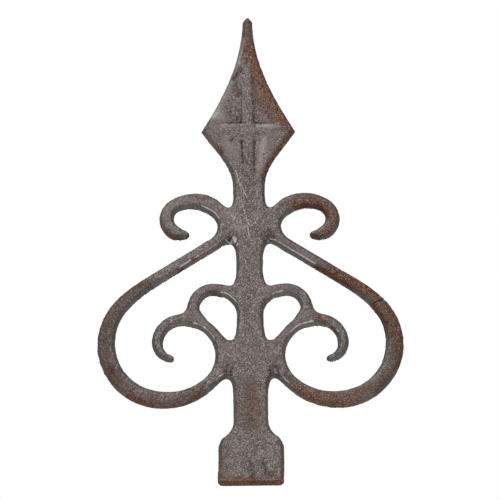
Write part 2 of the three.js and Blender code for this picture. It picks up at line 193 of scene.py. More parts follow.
# The soft cover of rust, which is whole from about 1 up.
RUST = patches(
    (3.2, 1.2, (253, 46), (257, 66), (264, 84), (272, 100), (281, 114), (288, 125)),
    (3.6, 0.54, (258, 100), (266, 108), (276, 120)),
    (2.2, 0.5, (251, 60), (254, 84), (258, 96)),
    (1.0, 0.75, (266, 176), (264, 200)),
    (1.8, 0.6, (248, 22), (248, 36), (247, 52)),
    (1.1, 0.8, (222, 152), (219, 147)),
    (0.9, 0.6, (204, 130), (208, 127)),
    (1.2, 0.55, (237, 74), (234, 77)),
    (1.0, 0.45, (239, 93), (236, 88)),
    (0.8, 0.45, (247, 58), (247, 62)),
    (0.8, 0.45, (231, 111)),
    (0.8, 0.45, (232, 139)),
    (0.8, 0.45, (255, 126)),
    (0.7, 0.4, (238, 127), (239, 131)),
    (2.8, 0.95, (296, 205), (308, 203), (322, 206), (331, 216)),
    (3.4, 0.42, (290, 206), (300, 198), (322, 198), (336, 212), (337, 224)),
    (2.6, 0.66, (334, 222), (328, 231), (316, 236)),
    (1.2, 0.45, (276, 212), (284, 204)),
    (1.4, 0.55, (312, 252), (326, 262)),
    (2.6, 0.85, (316, 268), (334, 276), (352, 289)),
    (4.0, 1.0, (334, 270), (350, 278), (366, 289), (382, 298)),
    (2.6, 0.85, (374, 304), (384, 322), (392, 336)),
    (3.0, 1.05, (385, 302), (394, 316), (400, 334), (402, 352), (400, 366)),
    (2.0, 0.6, (400, 366), (394, 382), (384, 394)),
    (2.6, 0.86, (384, 394), (366, 402), (348, 406), (326, 402), (308, 395), (296, 386)),
    (1.6, 0.5, (296, 386), (284, 374)),
    (1.6, 0.5, (352, 399), (330, 396)),
    (1.0, 0.8, (378, 391), (372, 397)),
    (2.0, 0.7, (166, 231), (172, 236), (180, 238)),
    (1.2, 0.5, (188, 237), (183, 239)),
    (1.2, 0.45, (190, 195), (206, 199)),
    (0.9, 0.7, (192, 259), (196, 257)),
    (1.1, 0.75, (179, 270), (183, 267)),
    (3.0, 0.5, (124, 296), (132, 286), (146, 284)),
    (3.0, 0.42, (116, 306), (106, 326), (104, 348)),
    (1.6, 0.95, (110, 368), (113, 372)),
    (3.0, 0.46, (106, 352), (112, 372), (124, 386)),
    (1.2, 0.7, (205, 383), (199, 392)),
    (1.0, 0.6, (207, 291), (214, 292), (220, 294)),
    (1.2, 0.45, (203, 300), (202, 310)),
    (1.2, 0.5, (214, 352), (218, 362)),
    (1.2, 0.55, (279, 356), (277, 360)),
    (1.5, 0.75, (318, 318), (324, 321)),
    (1.2, 0.6, (332, 326), (336, 331)),
    (3.4, 0.42, (245, 382), (252, 400), (258, 414)),
    (1.8, 0.46, (256, 396), (260, 414)),
    (1.8, 0.46, (243, 414), (254, 419)),
    (1.6, 0.35, (238, 384), (238, 424)),
    (3.4, 0.34, (222, 440), (221, 462), (221, 478)),
    (1.6, 0.5, (219, 474), (234, 478), (246, 478)),
    (5.0, 0.27, (226, 442), (224, 470)),
    (1.4, 0.36, (281, 440), (283, 476)),
    (1.3, 0.75, (250, 476), (255, 477)),
    (1.4, 0.6, (272, 476), (283, 478)),
    (3.2, 0.52, (248, 22), (247, 48)),
    (0.8, 0.6, (245, 46), (242, 60)),
    (1.6, 0.42, (240, 66), (233, 78)),
    (0.8, 0.55, (236, 84), (240, 90)),
    (0.7, 0.5, (232, 100), (231, 107)),
    (6.0, 0.4, (256, 64), (266, 92), (286, 126)),
    (5.5, 0.46, (384, 306), (395, 338), (394, 366), (377, 392)),
    (5.0, 0.5, (372, 388), (345, 399), (316, 394)),
    (6.5, 0.34, (146, 284), (120, 300), (106, 326), (103, 350)),
    (5.0, 0.4, (103, 350), (112, 376), (136, 397), (168, 404), (200, 392)),
    (6.5, 0.42, (250, 384), (250, 424)),
    (3.0, 0.34, (222, 446), (222, 474)),
    (2.0, 0.4, (224, 477), (280, 477)),
    (0.9, 1.0, (220, 480), (284, 480)),
    (3.0, 0.4, (300, 262), (340, 276)),
)
RUST += patches(
    (2.7, 1.15, (292, 134), (284, 146), (274, 158), (266, 176)),
    (1.5, 0.95, (126, 394), (146, 402), (166, 406), (186, 403), (198, 394)),
    face=Face.BOTH,
)
RUST += patches(
    (6.0, 0.5, (252, 372), (250, 420)),
    (4.0, 0.6, (100, 330), (106, 372), (136, 398), (190, 400)),
    (4.0, 0.7, (400, 330), (398, 372), (366, 402), (320, 398)),
    (3.6, 0.55, (290, 206), (314, 198), (336, 212)),
    (4.0, 0.65, (330, 268), (372, 296), (388, 316)),
    (3.0, 0.6, (222, 478), (282, 478)),
    (3.0, 0.5, (262, 84), (284, 120)),
    face=Face.BACK,
)

# Mostly painted light and shade: pale highlights on the rims and bands of the head, painted shadow beside
# the walls of the cross, in the crotches and in the dents of the foot, and painted shade that darkens the
# stem, neck, foot and sweeps; the rest is the iron's own lighter and darker patches.
# How much paler the iron is, or darker where it is below 0.
LIGHT_SHADE_AND_TONE = patches(
    # painted highlight: the pale rim of the head's upper left facet
    (2.6, 0.62, (243, 38), (237, 60), (225, 88), (212, 114)),
    (3.0, 0.3, (212, 114), (222, 117)),
    # painted shade in the sunk pockets beside the rib, above the bar
    (3.6, -0.42, (240, 118), (240, 102)),
    (2.0, -0.3, (230, 119), (240, 119)),
    (2.8, -0.45, (256, 116), (256, 100)),
    # painted highlights along the bar of the cross, painted shadow lines above it and painted shade below it
    (1.1, 0.4, (222, 125), (243, 125)),
    (1.4, 0.6, (256, 126), (280, 125)),
    (0.5, -0.8, (226, 122), (242, 122)),
    (0.5, -0.6, (254, 122), (268, 122)),
    (1.2, -0.22, (210, 133), (238, 132)),
    (1.4, -0.15, (256, 133), (278, 133)),
    # painted light on the lower facets of the head
    (2.8, 0.5, (264, 138), (262, 152), (258, 168)),
    (1.5, 0.28, (238, 138), (238, 165)),
    (2.5, 0.18, (228, 140), (234, 156)),
    # painted shadow lines beside the rib, below the bar
    (0.7, -0.75, (242.3, 135), (242.8, 175)),
    (0.8, -0.65, (254.5, 135), (254.5, 172)),
    (1.2, -0.3, (241, 24), (243, 34)),
    (1.4, 0.1, (247, 22), (248, 118)),
    (4.6, 0.34, (230, 212), (238, 226)),
    (3.4, -0.28, (262, 206), (268, 226)),
    (1.4, 0.25, (240, 176), (240, 204)),
    (2.6, -0.1, (249, 178), (250, 250)),
    (1.5, 0.12, (238, 262), (238, 300)),
    # painted shade: the stem and the foot darker towards the bottom
    (6.5, -0.24, (249, 250), (250, 345)),
    (14.0, -0.2, (250, 444), (250, 470)),
    (5.5, -0.3, (243, 362), (250, 420)),
    # painted shade darkening the sweeps
    (6.0, -0.62, (146, 282), (122, 298), (106, 326), (103, 350), (112, 376)),
    (6.0, -0.34, (112, 376), (136, 395), (168, 404), (200, 392)),
    (4.0, -0.12, (200, 392), (222, 372)),
    (5.0, -0.66, (384, 312), (396, 340), (394, 366), (378, 388)),
    (5.0, -0.35, (320, 266), (352, 284), (380, 300)),
    (2.0, -0.25, (106, 320), (104, 345)),
    (4.0, -0.22, (166, 331), (163, 345), (172, 358)),
    (4.0, -0.2, (324, 324), (344, 340), (340, 352), (328, 360)),
    (1.5, 0.3, (388, 342), (385, 360), (373, 381), (352, 391), (328, 389)),
    (1.3, 0.4, (380, 306), (384, 312)),
    (4.0, 0.1, (186, 196), (168, 210), (164, 226)),
    (4.5, 0.24, (240, 452), (236, 468)),
    (3.5, 0.2, (262, 446), (270, 456)),
    # painted shade and light in the dents of the foot
    (1.4, -0.5, (251, 470), (252, 463), (249, 459)),
    (1.7, -0.6, (253, 472), (253, 477)),
    (1.6, -0.5, (263, 461), (266, 471)),
    (1.7, -0.45, (266, 473), (274, 472)),
    (1.0, 0.45, (269, 464), (270, 468)),
    # painted shade: the neck darker
    (5.0, -0.36, (250, 156), (250, 204)),
    (3.0, 0.16, (234, 92), (222, 112)),
    (4.0, 0.16, (224, 134), (232, 150)),
    # painted shade in the crotches
    (0.55, -1.3, (222, 243), (227, 238.5), (231, 241)),
    (0.5, -1.3, (231, 236), (229, 241), (231, 245)),
    (0.5, -1.0, (225, 245), (228, 243)),
    (0.6, -1.2, (263, 243), (267, 238), (271, 239)),
    (0.5, -0.9, (264, 236), (266, 242)),
    (0.6, -1.0, (222, 378), (227, 371), (232, 375)),
    (0.6, -1.0, (268, 377), (273, 371), (279, 376)),
    (1.5, -0.6, (300, 205), (312, 203), (322, 207)),
    (1.0, -0.8, (225, 204), (230, 208)),
    (1.0, -0.8, (269, 204), (264, 208)),
    (3.0, 0.12, (174, 204), (190, 198), (214, 206)),
)

# Where the sand left a finer grain.
SMOOTH = patches(
    (4.2, 1.0, (236, 68), (224, 96), (212, 118), (226, 116)),
    (5.5, 0.9, (214, 134), (232, 150)),
    (4.5, 0.9, (274, 134), (262, 150), (260, 168)),
    (3.6, 0.6, (164, 226), (170, 208), (190, 200), (212, 208), (226, 220)),
    (3.0, 0.5, (224, 240), (196, 258), (160, 279)),
    (3.4, 0.9, (276, 240), (314, 262)),
    (3.4, 0.6, (203, 306), (212, 288), (228, 288)),
    (3.4, 0.6, (272, 288), (290, 288), (300, 306)),
    (4.4, 0.6, (188, 314), (208, 324), (226, 344)),
    (4.4, 0.5, (312, 316), (294, 324), (274, 344)),
    (6.0, 0.35, (236, 352), (264, 352)),
)

# Where the rims of the faces are rubbed bare, with painted highlights along the rounded lower and inner
# rims.
WORN_AND_HIGHLIGHT = patches(
    (1.9, 1.0, (197, 255), (181, 265)),
    (1.5, 0.6, (216, 243), (197, 255)),
    (2.0, 1.15, (272, 241), (284, 248), (300, 257), (313, 264)),
    (1.6, 1.0, (203, 204), (211, 209), (218, 216)),
    (1.4, 0.35, (176, 206), (190, 203)),
    (1.5, 1.0, (222, 292), (229, 296), (234, 301)),
    (1.5, 1.0, (267, 301), (272, 296), (281, 291)),
    (1.4, 0.45, (281, 291), (294, 291), (302, 298)),
    (1.5, 0.9, (194, 323), (204, 328), (213, 338)),
    (1.5, 0.8, (290, 330), (300, 324), (312, 321)),
    (1.6, 1.0, (330, 326), (336, 331)),
    (1.6, 0.7, (277, 213), (285, 206)),
    (1.5, 0.7, (284, 377), (294, 385), (302, 390)),
    (1.6, 0.8, (216, 377), (224, 371)),
    (1.2, 0.5, (386, 336), (386, 356)),
    (1.2, 0.55, (222, 478.5), (248, 478.8), (282, 478.5)),
)

# Pale flakes and scratches, and a painted highlight along the bottom rim of the foot.
FLAKES_AND_RIM_HIGHLIGHT = patches(
    (0.7, 0.62, (236, 170), (239, 181), (243, 189)),
    (0.5, 0.5, (233, 167), (236, 176)),
    (0.5, 0.45, (231, 172), (233, 182)),
    (0.5, 0.5, (238, 178), (241, 190)),
    (0.5, 0.8, (225, 239), (229, 240)),
    (0.6, 1.1, (231, 243), (233, 246)),
    (0.6, 0.6, (243, 190), (247, 198)),
    (0.6, 0.56, (241, 198), (244, 212), (247, 222), (250, 226)),
    (0.7, 0.55, (225, 208), (231, 215), (237, 222)),
    (0.5, 0.5, (233, 204), (239, 216)),
    (0.55, 0.62, (258, 216), (255, 223), (250, 227)),
    (0.55, 0.6, (247.5, 226), (249, 238)),
    (0.8, 0.5, (228, 222), (236, 226)),
    (0.5, 0.5, (262, 212), (259, 222)),
    (0.9, 1.3, (233.5, 236.5), (235, 238), (234.5, 241)),
    (0.6, 0.9, (227, 242), (231, 240), (232, 244)),
    (0.5, 0.9, (237, 243), (237, 246)),
    (0.6, 0.8, (268, 240), (270, 243)),
    (0.6, 0.8, (223, 378), (224, 376)),
    (0.5, 0.6, (233, 371), (234, 369)),
    (0.5, 0.6, (272, 377), (274, 379)),
    (0.5, 0.7, (279, 369), (281, 373)),
    # painted highlight along the bottom rim of the foot
    (0.45, 0.66, (222, 478.8), (250, 479.1), (283, 478.8)),
    (0.5, 0.46, (268, 84), (278, 101), (289, 121)),
)

# The larger pits, with their depths in millimetres.
PITS = patches(
    (1.0, 0.5, (238, 73), (234, 78)),
    (0.8, 0.4, (242, 68), (241, 71)),
    (0.9, 0.45, (239, 92), (238, 95)),
    (0.7, 0.35, (236, 84)),
    (0.6, 0.3, (246, 45)),
    (0.7, 0.45, (247, 57), (247, 63)),
    (0.6, 0.35, (245, 52)),
    (0.6, 0.3, (243, 78)),
    (0.8, 0.5, (231, 111)),
    (0.6, 0.3, (229, 105)),
    (0.8, 0.5, (232.5, 138.5), (231, 140)),
    (0.8, 0.45, (255, 126)),
    (0.7, 0.45, (264, 154)),
    (0.6, 0.3, (260, 139)),
    (0.8, 0.4, (222, 152), (220, 149)),
    (1.3, 0.45, (110, 368), (113, 372)),
    (0.9, 0.4, (205, 383)),
    (1.4, 0.26, (251, 469), (252, 463), (249, 459)),
    (1.7, 0.34, (253, 474)),
    (1.5, 0.28, (263, 461), (265, 466), (266, 471)),
    (1.6, 0.24, (267, 473), (273, 472)),
    (1.0, 0.4, (179, 270), (182, 268)),
    (0.9, 0.3, (193, 259)),
    (1.1, 0.3, (320, 318)),
)

# The stretch of the left sweep where the parting seam is jagged.
JAGGED_SEAM = Patch(((96, 318), (95, 345), (98, 365)), 9.0, 1.0, Face.BOTH)


@dataclass(frozen=True)
class Spot:
    """A round place on the casting, at a pixel of the photograph, with its reach in millimetres."""

    at: Pixel
    reach: float

    def away(self, points: Array) -> Array:
        """Measures how far points lie from it, seen from the front, in shares of its reach."""
        place = PHOTO.place(self.at)
        return np.hypot(points[:, 0] - place.x, points[:, 2] - place.z) / (self.reach * MM)

    def falloff(self, points: Array) -> Array:
        """Works out its soft share at each point: 1 in the middle, little beyond its reach."""
        return np.exp(-(self.away(points) ** 2))


@dataclass(frozen=True)
class Web(Spot):
    """A rough web of flash in a crotch, sunk by a share of the thickness."""

    sink: float

    def share(self, points: Array) -> Array:
        """Says how much of the web each point belongs to, 0 to 1."""
        return np.clip(1.25 - self.away(points), 0, 1)


WEBS = (
    Web((231, 242), 4.4, 0.34),
    Web((268, 240), 4.2, 0.28),
    Web((229, 373), 3.6, 0.22),
    Web((274, 373), 4.0, 0.26),
)


@dataclass(frozen=True)
class Lump(Spot):
    """A small lump of metal on the outline, with its rise in millimetres."""

    rise: float


LUMPS = (
    Lump((200, 194.5), 1.4, 0.25),
    Lump((206.5, 196), 1.4, 0.3),
    Lump((195, 194), 1.0, 0.15),
    Lump((385.5, 297), 1.3, 0.55),
    Lump((230, 341.5), 2.0, 1.1),
    Lump((270, 341.5), 2.0, 1.1),
    Lump((228.7, 244), 1.6, 0.6),
    Lump((227.5, 379.5), 1.6, 0.5),
    Lump((317, 326.5), 3.2, 0.3),
    Lump((247.6, 18.5), 1.6, 0.4),
    Lump((222.5, 438.5), 2.2, 0.45),
    Lump((277.5, 438.5), 2.2, 0.45),
)


@dataclass(frozen=True)
class Lean(Spot):
    """A stretch that came out of the sand `across` and `up` millimetres off the pattern."""

    across: float
    up: float


LEANS = (
    Lean((247, 60), 26.0, -0.25, 0.0),
    Lean((206, 130), 18.0, -0.25, 0.0),
    Lean((250, 110), 30.0, -0.12, 0.0),
    Lean((248, 175), 12.0, -0.2, 0.0),
    Lean((205, 206), 11.0, 0.0, 0.05),
    Lean((178, 232), 8.0, 0.3, 0.15),
    Lean((335, 222), 11.0, 0.4, -0.1),
    Lean((317, 232), 6.0, 0.0, -0.3),
    Lean((126, 376), 22.0, 0.15, 0.4),
    Lean((165, 396), 18.0, 0.0, 0.35),
    Lean((335, 352), 9.0, 0.0, -0.25),
    Lean((345, 280), 35.0, -0.1, -0.2),
    Lean((395, 350), 20.0, 0.15, 0.0),
    Lean((325, 322), 10.0, -0.1, -0.2),
    Lean((284, 333), 7.0, 0.1, -0.2),
    Lean((218.5, 480), 6.0, -0.45, 0.0),
    Lean((283.5, 478), 6.0, -0.2, 0.0),
)


def strongest(marks: tuple[Patch | Web, ...], points: Array) -> Array:
    """Takes the strongest of the marks at each point."""
    total = np.zeros(len(points))
    for mark in marks:
        total = np.maximum(total, mark.share(points))
    return total


def added(marks: tuple[Patch, ...], points: Array) -> Array:
    """Adds the marks up at each point."""
    total = np.zeros(len(points))
    for mark in marks:
        total += mark.share(points)
    return total


@dataclass(frozen=True)
class IronFinish:
    """Bare sand-cast iron, brown-grey, with rust over it; its pale, dark and bright colours also serve as
    painted light and shade.
    """

    base: Colour = (0.090, 0.069, 0.064)
    light: Colour = (0.130, 0.104, 0.098)
    dark: Colour = (0.019, 0.012, 0.010)
    pale: Colour = (0.330, 0.295, 0.280)
    brown: Colour = (0.058, 0.034, 0.023)
    worn_and_highlight: Colour = (0.54, 0.50, 0.47)
    flake_and_highlight: Colour = (0.52, 0.49, 0.46)
    rust_dark: Colour = (0.032, 0.015, 0.010)
    rust_red: Colour = (0.126, 0.048, 0.025)
    rust_orange: Colour = (0.196, 0.084, 0.041)
    rust_pale: Colour = (0.380, 0.290, 0.240)
    metallic: float = 0.3
    grain_mm: float = 0.8
    sand_mm: float = 0.5
    crust_mm: float = 0.55
    crumb_mm: float = 1.1
    mottle_mm: float = 8.0
    bump: float = 0.75
    bump_mm: float = 0.28
    rust_share: float = 0.9
    wear_and_highlight_share: float = 0.25
    line_share: float = 0.8
    flake_and_highlight_share: float = 0.75
    sheen: float = 0.4
    rust_sheen: float = 0.1


@dataclass(frozen=True)
class StudioFinish:
    """The pale floor under the finial."""

    colour: Colour = (0.86, 0.86, 0.86)
    roughness: float = 0.8
    glow: float = 0.16


class NodeSheet:
    """A small helper that lays out the nodes of a material or a world and links them."""

    def __init__(self, owner: bpy.types.Material | bpy.types.World) -> None:
        """Clears the node tree.

        Args:
            owner: The material or world to dress.
        """
        owner.use_nodes = True
        self.tree = owner.node_tree
        self.tree.nodes.clear()

    def add(self, kind: str, inputs: dict[str | int, object], **settings: object) -> bpy.types.Node:
        """Adds a node.

        Args:
            kind: The node's type name.
            inputs: What its inputs read, by name or place: each a socket or a plain value.
            **settings: Its properties.

        Returns:
            The new node.
        """
        node = self.tree.nodes.new(kind)
        for name, value in settings.items():
            setattr(node, name, value)
        for name, value in inputs.items():
            if isinstance(value, Socket):
                self.tree.links.new(value, node.inputs[name])
            else:
                node.inputs[name].default_value = value
        return node

    def attribute(self, name: str) -> Socket:
        """Reads a number that the mesh carries at its points."""
        return self.add("ShaderNodeAttribute", {}, attribute_name=name).outputs["Fac"]

    def texture(self, kind: str, size_mm: float, seed: float, **inputs: float) -> bpy.types.Node:
        """Adds a texture in the object's own space, at a size, shifted by a seed that makes it its own."""
        place = self.add("ShaderNodeTexCoord", {}).outputs["Object"]
        offset = (seed, seed * 0.7, seed * 1.3)
        shift = self.add("ShaderNodeVectorMath", {0: place, 1: offset}, operation="ADD")
        return self.add(kind, {"Vector": shift.outputs[0], "Scale": 1.0 / (size_mm * MM), **inputs})

    def grain(self, size_mm: float, detail: float, seed: float, roughness: float = 0.6) -> Socket:
        """Makes noise in the object's own space.

        Args:
            size_mm: The size of its largest features.
            detail: How many finer octaves it has.
            seed: A shift that makes each noise its own.
            roughness: The weight of the finer octaves.

        Returns:
            The noise, about 0 to 1.
        """
        texture = self.texture("ShaderNodeTexNoise", size_mm, seed, Detail=detail, Roughness=roughness)
        return texture.outputs["Fac"]

    def cells(self, size_mm: float, seed: float) -> Socket:
        """Divides the object's space into small cells, each with its own random number, 0 to 1."""
        texture = self.texture("ShaderNodeTexVoronoi", size_mm, seed)
        return self.add("ShaderNodeSeparateColor", {0: texture.outputs["Color"]}).outputs[0]

    def math(self, operation: str, a: object, b: object) -> Socket:
        """Combines two numbers."""
        return self.add("ShaderNodeMath", {0: a, 1: b}, operation=operation).outputs[0]

    def times(self, a: object, b: object) -> Socket:
        """Multiplies two numbers."""
        return self.math("MULTIPLY", a, b)

    def ramp(
        self, value: object, low: float, high: float, to_low: float = 0.0, to_high: float = 1.0
    ) -> Socket:
        """Maps a stretch of values smoothly onto another.

        Args:
            value: The number to map.
            low: Where the stretch starts.
            high: Where it ends.
            to_low: What its start maps to.
            to_high: What its end maps to.

        Returns:
            The mapped number.
        """
        ends = {"From Min": low, "From Max": high, "To Min": to_low, "To Max": to_high}
        node = self.add("ShaderNodeMapRange", {"Value": value, **ends}, interpolation_type="SMOOTHSTEP")
        return node.outputs["Result"]

    def broken(self, cover: object, texture: object, spread: float, low: float, high: float) -> Socket:
        """Breaks a soft cover up with a texture, so that it ends in crumbs.

        Args:
            cover: The soft cover.
            texture: Noise about 0 to 1.
            spread: How much the noise shifts the cover.
            low: The shifted cover at which nothing shows.
            high: The shifted cover at which it is whole.

        Returns:
            The broken cover, 0 to 1.
        """
        shift = self.times(self.math("SUBTRACT", texture, 0.5), spread)
        return self.ramp(self.math("ADD", cover, shift), low, high)

    def layered(self, base: object, *layers: tuple[object, object]) -> Socket:
        """Lays colours over a base, each with its share first. A colour is a socket or an RGB triple."""
        result = base
        for share, shade in layers:
            inputs = {"Factor": share}
            for place, colour in ((6, result), (7, shade)):
                inputs[place] = colour if isinstance(colour, Socket) else (*colour, 1.0)
            result = self.add("ShaderNodeMix", inputs, data_type="RGBA").outputs[2]
        return result

    def surface(self, inputs: dict[str, object]) -> None:
        """Ends the material in a surface with these inputs."""
        shader = self.add("ShaderNodeBsdfPrincipled", inputs)
        self.add("ShaderNodeOutputMaterial", {"Surface": shader.outputs["BSDF"]})


@dataclass
class IronSkin:
    """The material of the casting: mottled iron, edges rubbed bare with painted highlights, painted light
    and shade, painted shade with grime in the hollows, and rust.
    """

    finish: IronFinish = field(default_factory=IronFinish)

    def build(self) -> bpy.types.Material:
        """Makes the material.

        Returns:
            The iron, which reads the numbers that the mesh carries.
        """
        material = bpy.data.materials.new("rusted_cast_iron")
        sheet = NodeSheet(material)
        finish = self.finish
        grain = sheet.grain(finish.grain_mm, 2.0, 1.0, 0.7)
        crumbs = sheet.grain(finish.crumb_mm, 4.0, 6.0, 0.8)
        rust = sheet.attribute("rust")
        cover = sheet.broken(rust, crumbs, 2.6, 0.36, 0.66)
        iron = self.iron(sheet, grain, crumbs, rust)
        colour = sheet.layered(iron, (sheet.times(cover, finish.rust_share), self.rust_colour(sheet)))
        bare = sheet.ramp(grain, 0.3, 0.7, 0.58, 0.44)
        sheen = sheet.ramp(cover, 0.0, 1.0, finish.sheen, finish.rust_sheen)
        thin = sheet.ramp(rust, 1.2, 1.7, 1.0, 0.0)
        relief = {
            "Strength": finish.bump,
            "Distance": finish.bump_mm * MM,
            "Height": sheet.math("ADD", grain, crumbs),
        }
        sheet.surface(
            {
                "Base Color": colour,
                "Metallic": sheet.ramp(cover, 0.0, 1.0, finish.metallic, 0.0),
                "Roughness": sheet.math("ADD", bare, sheet.times(cover, 0.35)),
                "Specular IOR Level": sheet.times(sheen, thin),
                "Normal": sheet.add("ShaderNodeBump", relief).outputs["Normal"],
            }
        )
        return material

    def iron(self, sheet: NodeSheet, grain: Socket, crumbs: Socket, rust: Socket) -> Socket:
        """Lays out the colour of the iron that the rust has not covered.

        Args:
            sheet: The material's nodes.
            grain: The finest noise.
            crumbs: The coarser, broken noise.
            rust: The soft cover of rust, which tints the iron around it brown.

        Returns:
            The colour.
        """
        finish = self.finish
        painted_light_and_tone = sheet.attribute("painted_light_and_tone")
        mottle = sheet.grain(finish.mottle_mm, 4.0, 4.0)
        sand = sheet.cells(finish.sand_mm, 9.0)
        coarse = sheet.ramp(sheet.attribute("smooth"), 0.0, 1.0, 1.0, 0.3)
        coarse = sheet.times(coarse, sheet.ramp(painted_light_and_tone, 0.1, 0.6, 1.0, 0.6))
        glint = sheet.times(coarse, sheet.ramp(sand, 0.62, 1.0, 0.0, 0.58))
        edge_wear_and_highlight = sheet.broken(sheet.attribute("edge"), sheet.grain(3.0, 4.0, 12.0), 1.6, 0.45, 0.95)
        line = sheet.broken(self.edge_line(sheet), sheet.grain(2.0, 3.0, 17.0), 0.9, 0.25, 0.75)
        flake_and_highlight = sheet.broken(sheet.attribute("flake_and_highlight"), crumbs, 1.3, 0.42, 0.72)
        return sheet.layered(
            finish.base,
            (sheet.ramp(mottle, 0.32, 0.68), finish.light),
            # painted light and painted shade: paler where the number is above 0, darker where it is below
            (sheet.ramp(painted_light_and_tone, 0.0, 1.0), finish.pale),
            (sheet.ramp(painted_light_and_tone, -1.0, 0.0, 0.9, 0.0), finish.dark),
            (sheet.ramp(grain, 0.36, 0.54, 0.5, 0.0), finish.dark),
            (sheet.ramp(rust, 0.0, 0.6, 0.0, 0.8), finish.brown),
            (sheet.times(coarse, sheet.ramp(sand, 0.0, 0.5, 0.78, 0.0)), finish.dark),
            (sheet.times(glint, sheet.ramp(rust, 0.0, 0.6, 1.0, 0.42)), finish.pale),
            # painted shade with grime in the hollows, the pits, the webs and the crack
            (sheet.ramp(sheet.attribute("hollow_shade_and_dirt"), 0.05, 1.0, 0.0, 0.8), finish.dark),
            # convex edges rubbed bare, with painted highlight where the rounded edges catch the light
            (sheet.times(edge_wear_and_highlight, finish.wear_and_highlight_share), finish.worn_and_highlight),
            # rims rubbed bare, with painted highlight along them
            (sheet.times(line, finish.line_share), finish.worn_and_highlight),
            # pale flakes and scratches, with a painted highlight along the foot's bottom rim
            (sheet.times(flake_and_highlight, finish.flake_and_highlight_share), finish.flake_and_highlight),
        )

    def edge_line(self, sheet: NodeSheet) -> Socket:
        """Draws the bright line a hair inside the outline, where the rim of a face is rubbed bare and
        painted highlight lies along it.
        """
        inset = sheet.attribute("inset")
        outer = sheet.ramp(inset, 1.1, 1.45)
        inner = sheet.ramp(inset, 1.65, 2.05, 1.0, 0.0)
        return sheet.times(sheet.times(outer, inner), sheet.attribute("worn_and_highlight"))

    def rust_colour(self, sheet: NodeSheet) -> Socket:
        """Lays out the rust: dark scale, red-brown, orange crumbs and pale specks, with painted shade over
        it.
        """
        finish = self.finish
        crust = sheet.cells(finish.crust_mm, 21.0)
        bloom = sheet.grain(3.2, 4.0, 15.0, 0.75)
        orange = sheet.times(sheet.ramp(crust, 0.45, 1.0), sheet.ramp(bloom, 0.4, 0.6, 0.25, 1.0))
        speck = sheet.cells(finish.sand_mm, 27.0)
        return sheet.layered(
            finish.rust_dark,
            (sheet.ramp(crust, 0.15, 0.75), finish.rust_red),
            (orange, finish.rust_orange),
            (sheet.ramp(speck, 0.78, 0.95, 0.0, 0.6), finish.rust_pale),
            # painted shade on the rust
            (sheet.ramp(sheet.attribute("painted_light_and_tone"), -1.0, 0.0, 0.6, 0.0), finish.rust_dark),
        )


@dataclass
class HeadRelief:
    """The cross on the spear head, left standing by four sunk facets, as depths below the face."""

    rib_middle: float = -0.4 * MM
    rib_half: float = 2.7 * MM
    bar_half: float = 3.2 * MM
    bar_height: float = 210.4 * MM
    depth: float = 1.8 * MM
    top: float = 266.4 * MM
    bottom: float = 179.0 * MM
    rib_wall: float = 1.3 * MM
    bar_wall: float = 1.3 * MM
    lower_wall: float = 5.0 * MM
    rim_inset: float = 1.9 * MM
    hollowing: float = 1.25
    wall_reach: float = 1.2 * MM
    margin: float = 2 * MM
    face_from: float = 5 * MM

    def sink(self, points: Array, inset: Array) -> Array:
        """Works out how deep the facets lie below the face.

        Args:
            points: The places on the head.
            inset: How far inside the outline each lies.

        Returns:
            The depth at each place, in metres.
        """
        height = points[:, 2]
        bar_top = self.bar_height + self.bar_half
        bar_bottom = self.bar_height - self.bar_half
        across = np.maximum(np.abs(points[:, 0] - self.rib_middle) - self.rib_half, 0)
        room = np.maximum(inset - self.rim_inset, 0)
        slope = (room / (room + across + 0.01 * MM)) ** self.hollowing
        up = np.clip((height - bar_top) / self.bar_wall, 0, 1)
        up *= np.clip((self.top - height) / (self.top - bar_top), 0, 1)
        down = np.clip((bar_bottom - height) / self.lower_wall, 0, 1)
        down *= np.clip((height - self.bottom) / (bar_bottom - self.lower_wall - self.bottom), 0, 1)
        return self.depth * np.clip(across / self.rib_wall, 0, 1) * np.maximum(up, down) * slope

    def covers(self, points: Array) -> Array:
        """Says which points lie on the stretch of the faces that holds the relief."""
        height = points[:, 2]
        near = (height > self.bottom - self.margin) & (height < self.top + self.margin)
        return near & (np.abs(points[:, 1]) > self.face_from)

    def near_wall(self, points: Array) -> Array:
        """Says which points are close to a steep wall of the cross."""
        across = np.abs(points[:, 0] - self.rib_middle)
        rib = np.abs(across - self.rib_half - self.rib_wall / 2) < self.wall_reach
        bar_top = self.bar_height + self.bar_half
        bar = np.abs(points[:, 2] - bar_top - self.bar_wall / 2) < self.wall_reach
        return self.covers(points) & (rib | bar)


